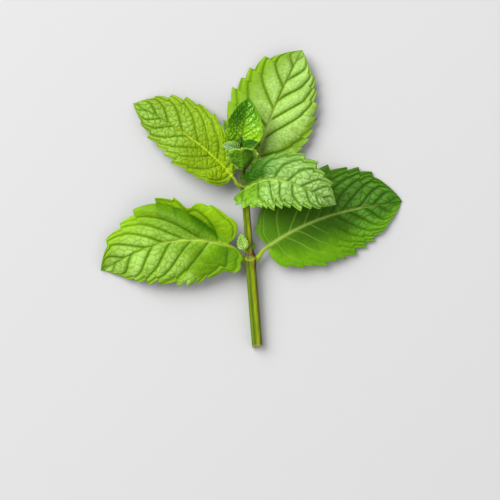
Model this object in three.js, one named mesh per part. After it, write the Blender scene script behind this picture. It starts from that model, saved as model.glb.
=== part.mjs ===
// A cut tip of a mint plant, lying on a flat surface: a four-sided stem with two leaf joints, five
// grown leaves, a young shoot of four small leaves round a bud, and the small growth in the leaf
// axils. Millimetres, +Z up. The tip of the sprig points towards +Y and its leaves face +Z.
import * as THREE from "three";

// ---- Driving dimensions, in millimetres and degrees ----

const STEM = {
  heading: 94.6, // direction of growth, from +X towards +Y
  lowerLength: 30, // cut end to lower leaf joint
  upperLength: 24.5, // lower to upper leaf joint
  shootLength: 13, // upper leaf joint to the tip of the stem
  lowerRadius: 1.93,
  upperRadius: 1.38,
  shootRadius: 0.8,
  endRadius: 0.45,
  corner: 0.09, // how far the four corners stand out, as a share of the radius
  swell: 0.32, // how much the stem thickens at a leaf joint
  swellReach: 2.2, // length over which it does
  rise: 6.4, // the upper end is held up by the leaves under it
  cutSlant: 12, // slope of the cut end
  cutDepth: 0.35, // how far the pith sinks in at the cut
  sides: 16,
  step: 1.9,
};

const CLEARANCE = 0.3; // between a leaf stalk or a bud and the stem that it grows from
const BLADE = 0.42; // thickness of a grown leaf's blade
const YOUNG_BLADE = 0.34;

const lowerJoint = STEM.lowerLength;
const upperJoint = lowerJoint + STEM.upperLength;
const stemLength = upperJoint + STEM.shootLength;

// One leaf: where it joins the stem (joint, a length along it, and around, an angle round it: 0 is
// the right side, 90 the side facing up), its stalk, and its blade. heading holds the direction in
// plan at the stem, at the blade's base and at its tip, and bend is how early it turns from one to
// the other. pitch is the same for its slope. halves are the half widths left and right of the
// midrib, taper is how sharply the outline closes at the tip, slim is the share of its width that a
// half loses at its base, and lobe is how far that base reaches back. fold is the angle at which a
// half leaves the midrib, curl is how much it bends on its way to the edge, and roll turns the blade
// on its midrib. A leaf that settles bends at its tip until it just touches the surface.
const LEAVES = [
  {
    name: "leaf_lower_left",
    joint: lowerJoint, around: 165,
    stalk: 7.4, stalkRadius: 0.62,
    length: 44.6, halves: [13.4, 13.9], taper: 0.76, slim: [0, 0.1], lobe: [4, 3],
    heading: [112, 161, 212], bend: 1.5, pitch: [26, 10, -17], roll: [-2, 4],
    fold: [4, 8], curl: [-26, -20],
    wave: [0.5, 1.5], waves: 1.7, wavePhase: [0.2, 0.62],
    teeth: 8, toothDepth: 1.3, thickness: BLADE, settles: true,
  },
  {
    name: "leaf_lower_right",
    joint: lowerJoint, around: 12,
    stalk: 6.6, stalkRadius: 0.62,
    length: 45.8, halves: [15.4, 13.9], taper: 0.76, slim: [0.1, 0], lobe: [4.2, 4.2],
    heading: [62, 36, 7], bend: 1.5, pitch: [6, -2, -4], roll: [0, 0],
    fold: [3, 3], curl: [-10, -10],
    wave: [0.4, 0.3], waves: 2.1, wavePhase: [0.1, 0.45],
    teeth: 9, toothDepth: 1.2, thickness: BLADE, settles: true,
  },
  {
    name: "leaf_upper_left",
    joint: upperJoint, around: 176,
    stalk: 3.2, stalkRadius: 0.5,
    length: 42, halves: [9.4, 11], taper: 0.8, slim: [0, 0.65], lobe: [1.4, 0.4],
    heading: [108, 130, 152], bend: 1.5, pitch: [-4, -6, -12], roll: [0, 4],
    fold: [30, 12], curl: [-34, -16],
    wave: [0.4, 0.4], waves: 2.2, wavePhase: [0.3, 0.7],
    teeth: 10, toothDepth: 1, thickness: BLADE, settles: true,
  },
  {
    name: "leaf_upper_right",
    joint: upperJoint, around: -24,
    stalk: 5.6, stalkRadius: 0.52,
    length: 42, halves: [14.8, 13.4], taper: 0.76, slim: [0.18, 0.1], lobe: [0.6, 1.6],
    heading: [58, 79, 62], bend: 1.5, pitch: [-6, -6, -8], roll: [0, 0],
    fold: [-4, 10], curl: [-14, -22],
    wave: [0.3, 0.4], waves: 2, wavePhase: [0.55, 0.1],
    teeth: 8, toothDepth: 1.2, thickness: BLADE, settles: true,
  },
  {
    name: "leaf_front_right",
    joint: upperJoint - 1.6, around: 72,
    stalk: 1.7, stalkRadius: 0.5,
    length: 32.4, halves: [10.2, 7.9], taper: 0.95, slim: [0.5, 0], lobe: [0.6, 7],
    heading: [44, 41, -28], bend: 3, pitch: [50, 36, -32], roll: [4, -4],
    fold: [22, 14], curl: [-40, -36],
    wave: [0.3, 0.4], waves: 2, wavePhase: [0.3, 0.8],
    teeth: 8, toothDepth: 1.1, thickness: BLADE,
  },
  {
    name: "shoot_leaf_back",
    joint: stemLength - 3, around: 265,
    stalk: 2, stalkRadius: 0.34,
    length: 17.6, halves: [6.5, 7.1], taper: 0.7, slim: [0, 0], lobe: [0.4, 0.4],
    heading: [88, 85, 80], bend: 1.5, pitch: [-12, 8, 18], roll: [0, 0],
    fold: [26, 26], curl: [8, 8],
    wave: [0.2, 0.2], waves: 2, wavePhase: [0, 0.5],
    teeth: 8, toothDepth: 0.4, thickness: YOUNG_BLADE,
  },
  {
    name: "shoot_leaf_front",
    joint: stemLength - 7.4, around: 90,
    stalk: 1, stalkRadius: 0.36,
    length: 11.6, halves: [5.8, 5.8], taper: 0.7, slim: [0, 0], lobe: [0.3, 0.3],
    heading: [94, 94, 96], bend: 1.5, pitch: [54, 50, 108], roll: [180, 180],
    fold: [24, 24], curl: [12, 12],
    wave: [0.15, 0.15], waves: 2, wavePhase: [0.2, 0.6],
    teeth: 7, toothDepth: 0.35, thickness: YOUNG_BLADE,
  },
  {
    name: "shoot_leaf_left",
    joint: stemLength - 1.6, around: 140,
    stalk: 0.6, stalkRadius: 0.26,
    length: 5.6, halves: [1.9, 1.9], taper: 0.8, slim: [0, 0], lobe: [0.1, 0.1],
    heading: [140, 160, 174], bend: 1.5, pitch: [56, 40, -4], roll: [0, 0],
    fold: [20, 20], curl: [-14, -14],
    wave: [0.05, 0.05], waves: 2, wavePhase: [0, 0.5],
    teeth: 5, toothDepth: 0.22, thickness: YOUNG_BLADE,
  },
  {
    name: "shoot_leaf_right",
    joint: stemLength - 1.6, around: 40,
    stalk: 0.6, stalkRadius: 0.26,
    length: 5.4, halves: [1.8, 1.8], taper: 0.8, slim: [0, 0], lobe: [0.1, 0.1],
    heading: [60, 34, 14], bend: 1.5, pitch: [56, 42, 6], roll: [0, 0],
    fold: [20, 20], curl: [-14, -14],
    wave: [0.05, 0.05], waves: 2, wavePhase: [0, 0.5],
    teeth: 5, toothDepth: 0.22, thickness: YOUNG_BLADE,
  },
  {
    name: "axil_leaflet_lower_left",
    joint: lowerJoint + 2.2, around: 138,
    stalk: 0.8, stalkRadius: 0.28,
    length: 5.2, halves: [1.5, 1.5], taper: 0.8, slim: [0, 0], lobe: [0.2, 0.2],
    heading: [112, 108, 98], bend: 1.5, pitch: [30, 22, 4], roll: [0, 0],
    fold: [24, 24], curl: [-20, -20],
    wave: [0.05, 0.05], waves: 2, wavePhase: [0, 0.5],
    teeth: 4, toothDepth: 0.25, thickness: YOUNG_BLADE,
  },
];

// A bud is a small closed cone of unopened leaves, and stands off the stem by the clearance.
const BUDS = [
  {
    name: "tip_bud", joint: stemLength, atEnd: true,
    heading: 90, pitch: 36, length: 3.2, radius: 0.8,
  },
  {
    name: "axil_bud_lower_right", joint: lowerJoint + 2.4, around: 30,
    heading: 80, pitch: 18, length: 2.6, radius: 0.5,
  },
  {
    name: "axil_bud_upper_left", joint: upperJoint + 2, around: 140,
    heading: 112, pitch: 20, length: 1.9, radius: 0.42,
  },
];

// ---- Materials ----

const green = (color, roughness = 0.55) =>
  new THREE.MeshStandardMaterial({ color, roughness, metalness: 0 });
const MATERIALS = {
  stem: green(0x86a32b, 0.5),
  leaf_lower_left: green(0x7fb52c),
  leaf_lower_right: green(0x3f7d1d),
  leaf_upper_left: green(0x86b81f),
  leaf_upper_right: green(0x86bb43),
  leaf_front_right: green(0x93c862),
  shoot: green(0x5f9a1b),
  bud: green(0x4d7d1c),
};

// ---- Geometry ----

const radians = THREE.MathUtils.degToRad;
const mix = THREE.MathUtils.lerp;
const smooth = (x) => THREE.MathUtils.smoothstep(x, 0, 1);

const direction = (heading, pitch) =>
  new THREE.Vector3(
    Math.cos(radians(pitch)) * Math.cos(radians(heading)),
    Math.cos(radians(pitch)) * Math.sin(radians(heading)),
    Math.sin(radians(pitch)),
  );

// A closed surface through rings of equally many points, with a fan to each end's middle. The rings
// turn anticlockwise as seen from the last one.
function loft(rings) {
  const count = rings[0].length;
  const middle = (ring) =>
    ring.reduce((sum, p) => sum.add(p), new THREE.Vector3()).divideScalar(ring.length);
  const points = [...rings.flat(), middle(rings[0]), middle(rings.at(-1))];
  const startMiddle = points.length - 2;
  const endMiddle = points.length - 1;
  const lastRing = (rings.length - 1) * count;
  const faces = [];
  for (let i = 0; i < count; i++) {
    const next = (i + 1) % count;
    for (let r = 0; r < lastRing; r += count) {
      faces.push(r + i, r + next, r + count + next, r + i, r + count + next, r + count + i);
    }
    faces.push(startMiddle, next, i);
    faces.push(endMiddle, lastRing + i, lastRing + next);
  }
  const geometry = new THREE.BufferGeometry().setFromPoints(points).setIndex(faces);
  geometry.computeVertexNormals();
  return geometry;
}

// ---- Stem ----

const STEM_BASE = 0.925; // height of the cut end's middle over the surface, as a share of its radius

const stemPoint = (s) => {
  const along = direction(STEM.heading, 0).multiplyScalar(s);
  along.z = STEM.lowerRadius * STEM_BASE + STEM.rise * Math.pow(Math.max(0, s / stemLength), 1.7);
  return along;
};

// The three unit vectors of the stem at s: along it, to its right and up out of the surface.
function stemFrame(s) {
  const ahead = stemPoint(s + 0.5).sub(stemPoint(Math.max(0, s - 0.5))).normalize();
  const right = new THREE.Vector3().crossVectors(ahead, new THREE.Vector3(0, 0, 1)).normalize();
  return { ahead, right, up: new THREE.Vector3().crossVectors(right, ahead) };
}

// Radius without the corners: even along each stretch, with a step down and a swelling at each joint.
function stemRadius(s) {
  const step = (joint, from, to) => (to - from) * smooth((s - joint) / STEM.swellReach + 0.2);
  const swelling = (joint) => Math.exp(-(((s - joint) / STEM.swellReach) ** 2));
  const taper = Math.max(0, (s - upperJoint) / STEM.shootLength);
  return (
    STEM.lowerRadius +
    step(lowerJoint, STEM.lowerRadius, STEM.upperRadius) +
    step(upperJoint, STEM.upperRadius, STEM.shootRadius) +
    (STEM.endRadius - STEM.shootRadius) * smooth(taper) +
    STEM.swell * (swelling(lowerJoint) + swelling(upperJoint))
  );
}

const stemSurface = (s, around, clearance) => {
  const { right, up } = stemFrame(s);
  const reach = stemRadius(s) * (1 + STEM.corner) + clearance;
  return stemPoint(s)
    .addScaledVector(right, reach * Math.cos(radians(around)))
    .addScaledVector(up, reach * Math.sin(radians(around)));
};

function stemGeometry() {
  const slant = Math.tan(radians(STEM.cutSlant));
  const ring = (s, share, sink) =>
    Array.from({ length: STEM.sides }, (_, i) => {
      const turn = (2 * Math.PI * i) / STEM.sides;
      const { ahead, right, up } = stemFrame(s);
      const radius = share * stemRadius(s) * (1 - STEM.corner * Math.cos(4 * turn));
      const along = sink - (s === 0 ? slant * radius * Math.sin(turn) : 0);
      return stemPoint(s)
        .addScaledVector(right, radius * Math.cos(turn))
        .addScaledVector(up, -radius * Math.sin(turn))
        .addScaledVector(ahead, along);
    });
  const rings = [ring(0, 0.55, STEM.cutDepth), ring(0, 1, 0)];
  const steps = Math.ceil(stemLength / STEM.step);
  for (let i = 1; i <= steps; i++) rings.push(ring((stemLength * i) / steps, 1, 0));
  rings.push(ring(stemLength, 0.5, STEM.endRadius * 0.6));
  return loft(rings);
}

// ---- Leaves ----

const FLARE = 0.42; // shape of the outline: how fast it widens from the base
const outline = (u, taper) => {
  const widest = FLARE / (FLARE + taper);
  return (u / widest) ** FLARE * ((1 - u) / (1 - widest)) ** taper;
};

const TOOTH_START = 0.1; // share of the blade before the first tooth
const TOOTH_PEAK = 0.82; // where in its own length a tooth is highest
const TOOTH_LEAN = 0.7; // how far a tooth points towards the tip, as a share of its depth
const LOBE_TURN = 0.35; // the lobes point back along the heading this share of the way to the tip
const EDGE_SHARES = [1, 0.68, 0.36]; // columns between the edge and the midrib
const RIB = { halfWidth: 0.55, depth: 0.5 }; // the midrib stands out of the underside

// Points along the midrib, from the stem to the tip of the blade, with the blade's own directions.
function midrib(leaf) {
  const steps = 60;
  const total = leaf.stalk + leaf.length;
  const place = stemSurface(leaf.joint, leaf.around, CLEARANCE + leaf.stalkRadius * 0.6);
  const frames = [];
  for (let i = 0; i <= steps; i++) {
    const s = (total * i) / steps;
    const inStalk = smooth(s / leaf.stalk);
    const inBlade = Math.max(0, (s - leaf.stalk) / leaf.length);
    const turned = 1 - (1 - inBlade) ** leaf.bend;
    const heading = s < leaf.stalk
      ? mix(leaf.heading[0], leaf.heading[1], inStalk)
      : mix(leaf.heading[1], leaf.heading[2], turned);
    const pitch = s < leaf.stalk
      ? mix(leaf.pitch[0], leaf.pitch[1], inStalk)
      : mix(leaf.pitch[1], leaf.pitch[2], inBlade);
    const ahead = direction(heading, pitch);
    if (i) place.addScaledVector(ahead, total / steps);
    const roll = radians(mix(leaf.roll[0], leaf.roll[1], inBlade));
    const left = direction(heading + 90, 0).applyAxisAngle(ahead, roll);
    const up = new THREE.Vector3().crossVectors(ahead, left);
    frames.push({ s, place: place.clone(), ahead, left, up });
  }
  return frames;
}

function frameAt(frames, s) {
  const step = frames[1].s;
  const at = Math.min(frames.length - 1.000001, Math.max(0, s / step));
  const low = frames[Math.floor(at)];
  const high = frames[Math.floor(at) + 1];
  const between = (key) => low[key].clone().lerp(high[key], at % 1);
  return {
    place: between("place"),
    ahead: between("ahead").normalize(),
    left: between("left").normalize(),
    up: between("up").normalize(),
  };
}

// A point of the blade's middle surface: u along the blade, t across it, positive to the left.
function bladePoint(leaf, frames, u, t, halfWidth, tooth) {
  const side = t >= 0 ? 0 : 1;
  const share = Math.min(1, Math.abs(t) / halfWidth);
  const lean = TOOTH_LEAN * tooth * share ** 3;
  const back = leaf.lobe[side] * (1 - u) ** 6 * share ** 2;
  const { place, ahead, left, up } = frameAt(frames, leaf.stalk + u * leaf.length);
  const bend = radians(leaf.curl[side]) * (Math.abs(t) / leaf.halves[side]);
  const angle = radians(leaf.fold[side]) * smooth(u * 8) + bend / 2;
  const chord = Math.abs(t) * (bend ? Math.sin(bend / 2) / (bend / 2) : 1);
  const ripple = leaf.wave[side] * share ** 2 * smooth(u * 4)
    * Math.sin(2 * Math.PI * (leaf.waves * u + leaf.wavePhase[side]));
  return place
    .addScaledVector(left, Math.sign(t) * chord * Math.cos(angle))
    .addScaledVector(up, chord * Math.sin(angle) + ripple)
    .addScaledVector(ahead, lean)
    .addScaledVector(direction(mix(leaf.heading[1], leaf.heading[2], LOBE_TURN), 0), -back);
}

// Rows along the blade: near its base, then the hollow and the point of each tooth, then the tip.
function bladeRows(leaf) {
  const rows = [0.012, 0.045];
  const span = (1 - TOOTH_START) / (leaf.teeth + 0.6);
  for (let i = 0; i < leaf.teeth; i++) {
    rows.push(TOOTH_START + span * i, TOOTH_START + span * (i + TOOTH_PEAK));
  }
  rows.push(0.965, 0.99);
  return rows;
}

function toothHeight(leaf, u) {
  const span = (1 - TOOTH_START) / (leaf.teeth + 0.6);
  const at = (u - TOOTH_START) / span;
  if (at < 0 || at >= leaf.teeth) return 0;
  const within = at % 1;
  const height = within < TOOTH_PEAK ? within / TOOTH_PEAK : (1 - within) / (1 - TOOTH_PEAK);
  const size = Math.sin(Math.PI * Math.min(1, 0.18 + 0.8 * u)) ** 0.6;
  return leaf.toothDepth * height * size;
}

function leafGeometry(leaf) {
  const frames = midrib(leaf);
  const rings = [];
  const stalkRings = 4;
  for (let i = 0; i < stalkRings; i++) {
    const s = (leaf.stalk * i) / stalkRings;
    const { place, left, up } = frameAt(frames, s);
    const count = 4 * EDGE_SHARES.length + 4;
    rings.push(Array.from({ length: count }, (_, k) => {
      const turn = (2 * Math.PI * (k + 0.5)) / count;
      return place.clone()
        .addScaledVector(left, leaf.stalkRadius * Math.cos(turn))
        .addScaledVector(up, leaf.stalkRadius * Math.sin(turn));
    }));
  }
  for (const u of bladeRows(leaf)) {
    const tooth = toothHeight(leaf, u);
    const half = leaf.halves.map((width, side) => {
      const slimmed = 1 - leaf.slim[side] * Math.max(0, 1 - 2 * u) ** 1.3;
      return Math.max(0.3, width * outline(u, leaf.taper) * slimmed) + tooth;
    });
    const rib = Math.min(RIB.halfWidth, half[0] * 0.2);
    const across = [
      ...EDGE_SHARES.map((share) => share * half[0]), rib,
      -rib, ...EDGE_SHARES.map((share) => -share * half[1]).reverse(),
    ];
    const { up } = frameAt(frames, leaf.stalk + u * leaf.length);
    const layer = (height) => across.map((t) =>
      bladePoint(leaf, frames, u, t, half[t >= 0 ? 0 : 1], tooth).addScaledVector(up, height(t)));
    const depth = RIB.depth * (leaf.thickness / BLADE) * (1 - 0.8 * u);
    const top = layer(() => leaf.thickness / 2);
    const under = layer((t) => -leaf.thickness / 2 - (Math.abs(t) <= rib ? depth : 0));
    rings.push([...top, ...under.reverse()]);
  }
  return loft(rings);
}

// Bends a leaf at its tip until its lowest point is on the surface.
function settled(leaf) {
  let [steep, shallow] = [leaf.pitch[2] - 25, leaf.pitch[2] + 25];
  const bent = (pitch) => ({ ...leaf, pitch: [leaf.pitch[0], leaf.pitch[1], pitch] });
  for (let i = 0; i < 12; i++) {
    const geometry = leafGeometry(bent((steep + shallow) / 2));
    geometry.computeBoundingBox();
    if (geometry.boundingBox.min.z > 0) shallow = (steep + shallow) / 2;
    else steep = (steep + shallow) / 2;
  }
  return leafGeometry(bent(shallow));
}

// ---- Buds ----

function budGeometry(bud) {
  const ahead = direction(bud.heading, bud.pitch);
  const left = direction(bud.heading + 90, 0);
  const up = new THREE.Vector3().crossVectors(ahead, left);
  const start = bud.atEnd
    ? stemPoint(bud.joint).addScaledVector(stemFrame(bud.joint).ahead, CLEARANCE + STEM.endRadius)
    : stemSurface(bud.joint, bud.around, CLEARANCE + bud.radius * 0.7);
  const profile = [[0, 0.35], [0.12, 0.8], [0.35, 1], [0.6, 0.75], [0.85, 0.35], [1, 0.08]];
  const rings = profile.map(([share, width]) =>
    Array.from({ length: 10 }, (_, k) => {
      const turn = (2 * Math.PI * k) / 10;
      return start.clone()
        .addScaledVector(ahead, share * bud.length)
        .addScaledVector(left, bud.radius * width * Math.cos(turn))
        .addScaledVector(up, bud.radius * width * Math.sin(turn));
    }));
  return loft(rings);
}

// ---- The sprig, centred over the surface that it lies on ----

const sprig = new THREE.Group();
const add = (name, geometry, material) => {
  const mesh = new THREE.Mesh(geometry, material);
  mesh.name = name;
  sprig.add(mesh);
};
add("stem", stemGeometry(), MATERIALS.stem);
LEAVES.forEach((leaf) => {
  const geometry = leaf.settles ? settled(leaf) : leafGeometry(leaf);
  add(leaf.name, geometry, MATERIALS[leaf.name] ?? MATERIALS.shoot);
});
BUDS.forEach((bud) => add(bud.name, budGeometry(bud), MATERIALS.bud));

const box = new THREE.Box3().setFromObject(sprig, true);
const middle = box.getCenter(new THREE.Vector3());
sprig.position.set(-middle.x, -middle.y, -box.min.z);

export default sprig;
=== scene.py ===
import bpy
import numpy as np
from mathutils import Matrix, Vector


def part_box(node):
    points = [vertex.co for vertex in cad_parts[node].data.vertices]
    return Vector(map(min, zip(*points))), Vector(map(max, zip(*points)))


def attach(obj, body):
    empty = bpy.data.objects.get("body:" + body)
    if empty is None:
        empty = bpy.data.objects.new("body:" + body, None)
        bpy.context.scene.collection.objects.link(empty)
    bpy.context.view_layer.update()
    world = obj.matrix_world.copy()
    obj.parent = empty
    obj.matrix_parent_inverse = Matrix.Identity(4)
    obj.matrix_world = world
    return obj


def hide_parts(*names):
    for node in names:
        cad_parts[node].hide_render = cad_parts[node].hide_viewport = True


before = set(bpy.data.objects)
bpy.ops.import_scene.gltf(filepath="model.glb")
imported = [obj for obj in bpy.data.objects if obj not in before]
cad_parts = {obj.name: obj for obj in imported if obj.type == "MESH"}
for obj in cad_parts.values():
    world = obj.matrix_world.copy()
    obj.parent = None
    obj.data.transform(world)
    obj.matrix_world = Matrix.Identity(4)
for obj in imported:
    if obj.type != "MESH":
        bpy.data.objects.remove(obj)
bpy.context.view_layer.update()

# A cut tip of a mint plant lying on a plain pale surface. Shapes are worked out in millimetres in
# the sprig's own frame, which starts at the cut end of the stem, and become metres in makePiece.
fineness = 1.0
print("frame loaded, fineness", fineness)


def hexColour(code):
    # sRGB hex to the linear colour that the shader wants
    channels = [int(code[i:i + 2], 16) / 255 for i in (1, 3, 5)]
    return [c / 12.92 if c <= 0.04045 else ((c + 0.055) / 1.055) ** 2.4 for c in channels] + [1.0]


def fillInputs(tree, node, inputs):
    # plain values are set on the inputs, and other nodes' outputs are linked to them
    for key, value in inputs.items():
        if isinstance(value, bpy.types.NodeSocket):
            tree.links.new(value, node.inputs[key])
        else:
            node.inputs[key].default_value = value


def addNode(tree, kind, inputs, output=0, **settings):
    node = tree.nodes.new(kind)
    for key, value in settings.items():
        setattr(node, key, value)
    fillInputs(tree, node, inputs)
    return node.outputs[output]


def startMaterial(name, marks):
    # the mesh's marks and the place on the piece are what its colours follow
    material = bpy.data.materials.new(name)
    material.use_nodes = True
    tree = material.node_tree
    mark = {key: addNode(tree, "ShaderNodeAttribute", {}, "Fac", attribute_name=key + "Mark")
            for key in marks}
    place = addNode(tree, "ShaderNodeTexCoord", {}, "Object")
    return material, tree, tree.nodes["Principled BSDF"], mark, place


def layered(tree, colour, coats, share):
    # each coat covers what is under it by its own share
    for coat, over in coats:
        colour = addNode(tree, "ShaderNodeMix", {6: colour, 7: over, 0: share[coat]}, 2, data_type="RGBA")
    return colour


def mix(a, b, share):
    return a + (b - a) * share


def smooth(x):
    x = np.clip(x, 0, 1)
    return x * x * (3 - 2 * x)


def hashed(i, j, seed):
    # repeatable numbers from 0 to 1
    return np.modf(np.abs(np.sin(i * 127.1 + j * 311.7 + seed * 74.7) * 43758.5453))[0]


def wander(x, y, seed):
    # smooth noise from -1 to 1, one swing for each unit of x and y
    i, j = np.floor(x), np.floor(y)
    fx, fy = smooth(x - i), smooth(y - j)
    low = mix(hashed(i, j, seed), hashed(i + 1, j, seed), fx)
    high = mix(hashed(i, j + 1, seed), hashed(i + 1, j + 1, seed), fx)
    return 2 * mix(low, high, fy) - 1


def cellBorders(x, y, seed):
    # cells about one unit wide: how far a point is inside its own, and a number for that cell
    i, j = np.floor(x), np.floor(y)
    nearest = np.full(np.shape(x), 9.0)
    second = nearest.copy()
    cell = np.zeros(np.shape(x))
    for di in (-1, 0, 1):
        for dj in (-1, 0, 1):
            cx = i + di + 0.5 + 0.8 * (hashed(i + di, j + dj, seed) - 0.5)
            cy = j + dj + 0.5 + 0.8 * (hashed(i + di, j + dj, seed + 5) - 0.5)
            distance = np.hypot(x - cx, y - cy)
            cell = np.where(distance < nearest, hashed(i + di, j + dj, seed + 9), cell)
            second = np.minimum(second, np.maximum(nearest, distance))
            nearest = np.minimum(nearest, distance)
    return second - nearest, cell


def direction(heading, pitch):
    heading, pitch = np.radians(heading), np.radians(pitch)
    return np.stack([
        np.cos(pitch) * np.cos(heading),
        np.cos(pitch) * np.sin(heading),
        np.sin(pitch) + 0 * heading,
    ], -1)


def unit(vectors):
    return vectors / np.maximum(np.linalg.norm(vectors, axis=-1, keepdims=True), 1e-9)


studio = {
    "lookAt": (0.0, -0.0167, 0.004),  # a little below the middle of the sprig
    "frameWidth": 0.1667,  # what the picture takes in at that height
    "lens": 110.0,
    "floorColour": "#b3b3b3",
    "keyPlace": (-0.98, 0.88, 1.25), "keySize": 1.5, "keyPower": 60.0,
    "fillPlace": (1.1, -0.6, 1.2), "fillSize": 1.4, "fillPower": 6.0,
    "skyStrength": 0.58,
}

scene = bpy.context.scene
scene.view_settings.view_transform = "Standard"

cameraData = bpy.data.cameras.new("camera")
cameraData.lens = studio["lens"]
cameraData.clip_start = 0.01
camera = bpy.data.objects.new("camera", cameraData)
cameraHeight = studio["frameWidth"] * studio["lens"] / cameraData.sensor_width
camera.location = Vector(studio["lookAt"]) + Vector((0, 0, cameraHeight))
scene.collection.objects.link(camera)
scene.camera = camera

for name in ("key", "fill"):
    lightData = bpy.data.lights.new(name, "AREA")
    lightData.size = studio[name + "Size"]
    lightData.energy = studio[name + "Power"]
    light = bpy.data.objects.new(name, lightData)
    light.location = studio[name + "Place"]
    light.rotation_euler = (-light.location).to_track_quat("-Z", "Y").to_euler()
    scene.collection.objects.link(light)

sky = bpy.data.worlds.new("soft white room")
sky.use_nodes = True
sky.node_tree.nodes["Background"].inputs["Color"].default_value = hexColour("#ffffff")
sky.node_tree.nodes["Background"].inputs["Strength"].default_value = studio["skyStrength"]
scene.world = sky


def paperBoard():
    # matt coated board: an even off-white with hardly any gloss
    material, tree, shader, _, _ = startMaterial("matt white board", [])
    fillInputs(tree, shader, {
        "Base Color": hexColour(studio["floorColour"]), "Roughness": 0.85, "Specular IOR Level": 0.16})
    return material


floorMesh = bpy.data.meshes.new("floor")
reach = 2.5
floorMesh.from_pydata([(-reach, -reach, 0), (reach, -reach, 0), (reach, reach, 0), (-reach, reach, 0)],
                      [], [(0, 1, 2, 3)])
floor = bpy.data.objects.new("floor", floorMesh)
floorMesh.materials.append(paperBoard())
scene.collection.objects.link(floor)
print("stage ready, camera", round(cameraHeight, 3), "m up")


stem = {
    "heading": 94.6,
    "lowerLength": 30.0, "upperLength": 24.5, "shootLength": 13.0,
    "lowerRadius": 1.93, "upperRadius": 1.38, "shootRadius": 0.8, "endRadius": 0.45,
    "corner": 0.09, "swell": 0.32, "swellReach": 2.2, "rise": 6.4, "baseShare": 0.925,
    "groove": 0.1, "furrowTurn": 0.35,  # depth of the furrow down each side, mm, and where it is
    "collar": 0.16,  # height of the ridge that joins the two leaf stalks of a pair, mm
    "collarLow": 0.9, "collarDip": 1.1, "collarWidth": 0.3,  # its place below the joint, mm
    "shootStout": 0.3,  # how much stouter the shoot's skin is than its solid, as a share
    "uneven": 0.03,  # how far the skin swells and sinks on its way up, mm
    "cutSlant": 12.0,  # degrees
    "cutDepth": 0.35, "cutTorn": 0.55, "rimTorn": 0.12,  # mm
    "brownLineAt": 0.82, "darkLineAt": 2.45,  # where the two coloured lines run, radians round the stem
    "solidStep": 1.9, "solidSides": 16,
}
lowerJoint = stem["lowerLength"]
upperJoint = lowerJoint + stem["upperLength"]
stemLength = upperJoint + stem["shootLength"]


def stemPoint(s):
    s = np.asarray(s, float)
    points = s[..., None] * direction(stem["heading"], 0)
    points[..., 2] = stem["lowerRadius"] * stem["baseShare"] \
        + stem["rise"] * np.maximum(0, s / stemLength) ** 1.7
    return points


def stemFrame(s):
    s = np.asarray(s, float)
    ahead = unit(stemPoint(s + 0.5) - stemPoint(np.maximum(0, s - 0.5)))
    right = unit(np.cross(ahead, [0, 0, 1]))
    return ahead, right, np.cross(right, ahead)


def stemRadius(s):
    s = np.asarray(s, float)
    reach = stem["swellReach"]
    radius = stem["lowerRadius"] + stem["swell"] * (
        np.exp(-((s - lowerJoint) / reach) ** 2) + np.exp(-((s - upperJoint) / reach) ** 2))
    radius = radius + (stem["upperRadius"] - stem["lowerRadius"]) * smooth((s - lowerJoint) / reach + 0.2)
    radius = radius + (stem["shootRadius"] - stem["upperRadius"]) * smooth((s - upperJoint) / reach + 0.2)
    taper = np.maximum(0, (s - upperJoint) / stem["shootLength"])
    return radius + (stem["endRadius"] - stem["shootRadius"]) * smooth(taper)


def stemSurface(s, around, clearance):
    ahead, right, up = stemFrame(s)
    reach = stemRadius(s) * (1 + stem["corner"]) + clearance
    return stemPoint(s) + reach * (right * np.cos(np.radians(around)) + up * np.sin(np.radians(around)))


# the solid's stem gives the step from the sprig's own frame to the part's
solidS = np.linspace(0, stemLength, int(np.ceil(stemLength / stem["solidStep"])) + 1)[:, None]
solidTurn = np.linspace(0, 2 * np.pi, stem["solidSides"], endpoint=False)[None, :]
_, solidRight, solidUp = stemFrame(solidS)
solidRadius = stemRadius(solidS) * (1 - stem["corner"] * np.cos(4 * solidTurn))
solidSkin = stemPoint(solidS) + solidRadius[..., None] * (
    solidRight * np.cos(solidTurn)[..., None] - solidUp * np.sin(solidTurn)[..., None])
stemLow, stemHigh = (np.array(corner) * 1000 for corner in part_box("stem"))
toPart = np.array([stemLow[0] - solidSkin[..., 0].min(), stemHigh[1] - solidSkin[-1, :, 1].max(), 0.0])
print("sprig frame to part frame, mm", toPart.round(2))


def makePiece(name, points, faces, places, marks, material):
    # points in the sprig's millimetres, places are the faces' corners on the flat map
    mesh = bpy.data.meshes.new(name)
    mesh.from_pydata(((points + toPart) / 1000).tolist(), [], faces)
    mesh.uv_layers.new(name="OFBake").data.foreach_set("uv", np.concatenate(places).ravel())
    for mark, values in marks.items():
        mesh.attributes.new(mark + "Mark", "FLOAT", "POINT").data.foreach_set("value", values)
    mesh.polygons.foreach_set("use_smooth", [True] * len(mesh.polygons))
    mesh.materials.append(material)
    mesh.update()
    piece = bpy.data.objects.new(name, mesh)
    scene.collection.objects.link(piece)
    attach(piece, "root")
    return piece


def gridFaces(rows, columns, start, flip, corner, size, closed=False):
    # quads over a grid of points, with their corners laid out evenly in one rectangle of the map
    i, j = np.meshgrid(np.arange(rows - 1), np.arange(columns if closed else columns - 1), indexing="ij")
    order = [(0, 0), (1, 0), (1, 1), (0, 1)] if not flip else [(0, 0), (0, 1), (1, 1), (1, 0)]
    ids = [start + (i + di) * columns + (j + dj) % columns for di, dj in order]
    across = columns if closed else columns - 1
    places = [np.stack([corner[0] + size[0] * (j + dj) / across,
                        corner[1] + size[1] * (i + di) / (rows - 1)], -1) for di, dj in order]
    return (np.stack([a.ravel() for a in ids], 1).tolist(),
            np.stack([p.reshape(-1, 2) for p in places], 1))


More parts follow.
